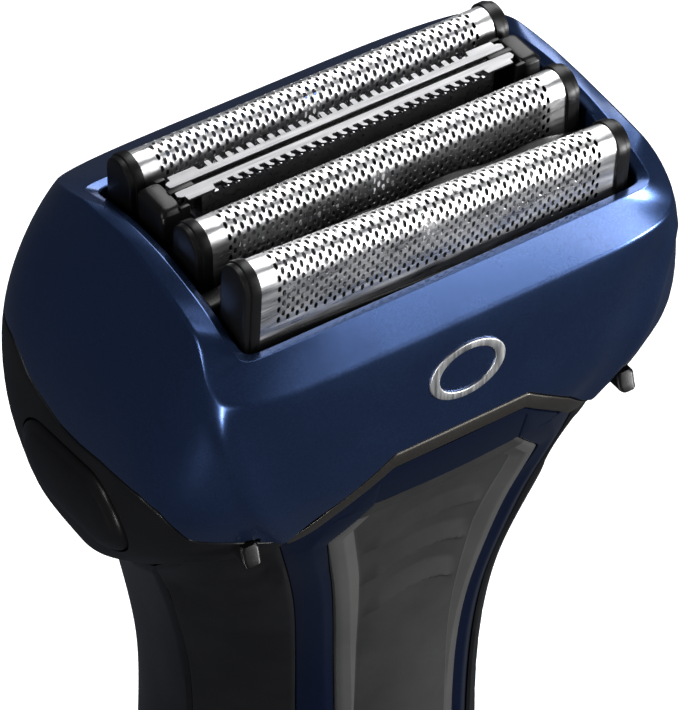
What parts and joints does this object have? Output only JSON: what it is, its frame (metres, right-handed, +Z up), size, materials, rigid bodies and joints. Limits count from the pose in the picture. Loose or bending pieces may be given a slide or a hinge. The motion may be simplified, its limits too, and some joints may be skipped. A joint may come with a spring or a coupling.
{
  "type": "electric shaver",
  "caption": "Upright electric foil shaver with arched foils and a slit trimmer on a lift-off head frame, side release buttons, a slim waisted handle and a pop-up trimmer at the back.",
  "frame": {"origin": "on the flat underside that the shaver stands on, below the middle of the head", "axes": "+Z up along the handle, +X to the shaver's right, front with the panel and power button towards -Y"},
  "size_m": [0.0742, 0.0496, 0.1599],
  "materials": {
    "navy_gloss": "satin metallic lacquer",
    "black_plastic": "fine satin",
    "shell_black": "semi-gloss",
    "grip_rubber": "soft-touch",
    "panel_grey": "fine texture",
    "button_grey": "satin",
    "band_grey": "dark metallic",
    "badge_silver": "brushed",
    "foil_steel": "polished",
    "blade_steel": "ground",
    "spring_steel": "bright",
    "acetal": "satin",
    "chassis_plastic": "moulded",
    "seal_rubber": "matte",
    "motor_steel": "zinc plate",
    "brass_parts": "machined",
    "cell_wrap": "shrink wrap",
    "board_green": "solder mask",
    "switch_black": "moulded",
    "window_clear": "smoked"
  },
  "bodies": {
    "handle": {"head_base": "black_plastic", "cap_lugs": "black_plastic", "collar_band": "band_grey", "drive_seals": "seal_rubber", "drive_deck": "black_plastic", "deck_screws": "spring_steel", "front_bezel": "navy_gloss", "front_panel": "panel_grey", "grip_ribs": "panel_grey", "grip_left": "grip_rubber", "grip_right": "grip_rubber", "rear_shell": "shell_black", "bottom_cap": "black_plastic", "base_gasket": "seal_rubber", "release_spring_left": "spring_steel", "release_spring_right": "spring_steel", "tact_switch": "switch_black", "indicator_window": "window_clear", "circuit_board": "board_green", "motor_can": "motor_steel", "battery": "cell_wrap", "chassis": "chassis_plastic", "charge_socket": "switch_black", "charge_pins": "brass_parts", "trimmer_housing": "black_plastic", "base_screws": "spring_steel"},
    "foil_frame": {"head_frame": "navy_gloss", "front_badge": "badge_silver", "skin_guard": "black_plastic"},
    "rear_foil": {"foil_rear": "foil_steel", "carrier_rear": "black_plastic"},
    "mid_foil": {"foil_mid": "foil_steel", "carrier_mid": "black_plastic"},
    "front_foil": {"foil_front": "foil_steel", "carrier_front": "black_plastic"},
    "slit_trimmer": {"slit_comb": "blade_steel", "slit_carrier": "black_plastic"},
    "outer_drive": {"oscillator_outer": "acetal", "springs_outer": "spring_steel"},
    "inner_drive": {"oscillator_inner": "acetal", "springs_inner": "spring_steel"},
    "rear_cutter": {"cutter_rear": "blade_steel"},
    "mid_cutter": {"cutter_mid": "blade_steel"},
    "front_cutter": {"cutter_front": "blade_steel"},
    "slit_blade": {"slit_cutter": "blade_steel"},
    "motor_shaft": {"rotor": "brass_parts"},
    "left_release": {"release_left": "black_plastic"},
    "right_release": {"release_right": "black_plastic"},
    "power_key": {"power_button": "button_grey"},
    "trimmer": {"trimmer_slider": "button_grey", "trimmer_comb": "blade_steel"},
    "trimmer_cutter": {"trimmer_blade": "blade_steel"}
  },
  "joints": [
    {"name": "frame_lift", "type": "slide", "parent": "handle", "child": "foil_frame", "axis": [0, 0, 1], "range_m": [0, 0.024]},
    {"name": "rear_foil_float", "type": "slide", "parent": "foil_frame", "child": "rear_foil", "axis": [0, 0, 1], "range_m": [-0.002, 0], "stiffness_N_per_m": 250, "springref_m": 0.0008},
    {"name": "mid_foil_float", "type": "slide", "parent": "foil_frame", "child": "mid_foil", "axis": [0, 0, 1], "range_m": [-0.002, 0], "stiffness_N_per_m": 250, "springref_m": 0.0008},
    {"name": "front_foil_tilt", "type": "hinge", "parent": "foil_frame", "child": "front_foil", "pos_m": [0, -0.0168, 0.14755], "axis": [0, 1, 0], "range_deg": [-4, 0.4], "stiffness_Nm_per_rad": 0.02},
    {"name": "slit_float", "type": "slide", "parent": "foil_frame", "child": "slit_trimmer", "axis": [0, 0, 1], "range_m": [-0.002, 0], "stiffness_N_per_m": 250, "springref_m": 0.0008},
    {"name": "outer_drive_slide", "type": "slide", "parent": "handle", "child": "outer_drive", "axis": [1, 0, 0], "range_m": [-0.0012, 0.0012]},
    {"name": "inner_drive_slide", "type": "slide", "parent": "handle", "child": "inner_drive", "axis": [1, 0, 0], "range_m": [-0.0012, 0.0012]},
    {"name": "rear_cutter_float", "type": "slide", "parent": "outer_drive", "child": "rear_cutter", "axis": [0, 0, 1], "range_m": [-0.002, 0], "deforming": ["springs_outer"]},
    {"name": "front_cutter_tilt", "type": "hinge", "parent": "outer_drive", "child": "front_cutter", "pos_m": [0, -0.0168, 0.14755], "axis": [0, 1, 0], "range_deg": [-4, 0.4], "deforming": ["springs_outer"]},
    {"name": "mid_cutter_float", "type": "slide", "parent": "inner_drive", "child": "mid_cutter", "axis": [0, 0, 1], "range_m": [-0.002, 0], "deforming": ["springs_inner"]},
    {"name": "slit_blade_float", "type": "slide", "parent": "inner_drive", "child": "slit_blade", "axis": [0, 0, 1], "range_m": [-0.002, 0], "deforming": ["springs_inner"]},
    {"name": "motor_spin", "type": "hinge", "parent": "handle", "child": "motor_shaft", "pos_m": [0, 0.0005, 0.11], "axis": [0, 0, 1], "continuous": true},
    {"name": "left_release_press", "type": "slide", "parent": "handle", "child": "left_release", "axis": [1, 0, 0], "range_m": [0, 0.0015], "stiffness_N_per_m": 700, "springref_m": -0.001, "deforming": ["release_spring_left"]},
    {"name": "right_release_press", "type": "slide", "parent": "handle", "child": "right_release", "axis": [-1, 0, 0], "range_m": [0, 0.0015], "stiffness_N_per_m": 700, "springref_m": -0.001, "deforming": ["release_spring_right"]},
    {"name": "power_press", "type": "slide", "parent": "handle", "child": "power_key", "axis": [0, 1, 0], "range_m": [0, 0.0007], "stiffness_N_per_m": 1500, "springref_m": -0.0005},
    {"name": "trimmer_slide", "type": "slide", "parent": "handle", "child": "trimmer", "axis": [0, 0.1392, 0.9903], "range_m": [0, 0.01]},
    {"name": "trimmer_stroke", "type": "slide", "parent": "trimmer", "child": "trimmer_cutter", "axis": [1, 0, 0], "range_m": [-0.0009, 0.0009]}
  ],
  "couplings": [
    {"joint": "inner_drive_slide", "follows": "outer_drive_slide", "ratio": -1},
    {"joint": "rear_cutter_float", "follows": "rear_foil_float", "ratio": 1},
    {"joint": "mid_cutter_float", "follows": "mid_foil_float", "ratio": 1},
    {"joint": "front_cutter_tilt", "follows": "front_foil_tilt", "ratio": 1},
    {"joint": "slit_blade_float", "follows": "slit_float", "ratio": 1}
  ]
}
